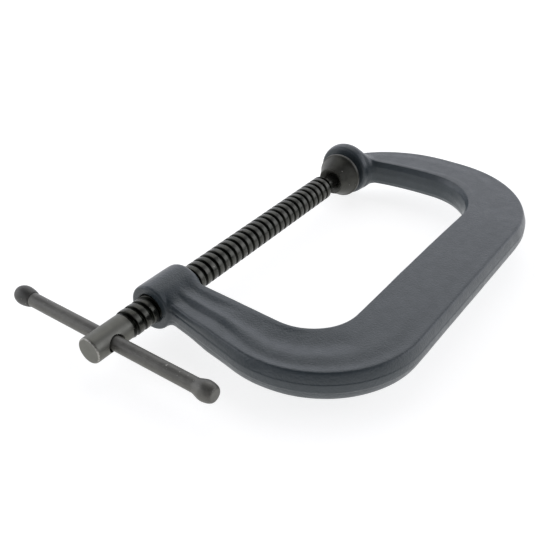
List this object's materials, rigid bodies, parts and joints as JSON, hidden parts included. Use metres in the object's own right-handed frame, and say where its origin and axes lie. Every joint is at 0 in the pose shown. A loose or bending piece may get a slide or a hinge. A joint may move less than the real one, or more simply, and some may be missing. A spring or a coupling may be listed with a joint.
{
  "type": "c clamp",
  "caption": "Forged steel C clamp with a coarse screw spindle, a swivel pad and a sliding T handle, lying on its side and nearly closed.",
  "frame": {"origin": "centre of the anvil face, on the screw axis", "axes": "+Y from the handle towards the anvil, along the screw; +X from the screw towards the spine; +Z square to the plane of the frame"},
  "size_m": [0.2171, 0.3104, 0.0388],
  "materials": {
    "frame_paint": "satin grey-blue enamel over a forging",
    "dark_steel": "black oxide, oiled",
    "bar_steel": "worn black oxide"
  },
  "bodies": {
    "frame": {"frame": "frame_paint"},
    "pad": {"swivel_pad": "dark_steel"},
    "spindle": {"spindle": "dark_steel"},
    "handle": {"handle_bar": "bar_steel", "end_knob": "bar_steel"}
  },
  "joints": [
    {"name": "jaw_travel", "type": "slide", "parent": "frame", "child": "pad", "axis": [0, -1, 0], "range_m": [-0.0056, 0.1482]},
    {"name": "spindle_turn", "type": "hinge", "parent": "pad", "child": "spindle", "pos_m": [0, 0, 0], "axis": [0, -1, 0], "range_deg": [-343, 9080]},
    {"name": "handle_slide", "type": "slide", "parent": "spindle", "child": "handle", "axis": [1, 0, 0], "range_m": [-0.054, 0.0525]}
  ],
  "couplings": [
    {"joint": "jaw_travel", "follows": "spindle_turn", "m_per_rad": 0.00093424}
  ]
}
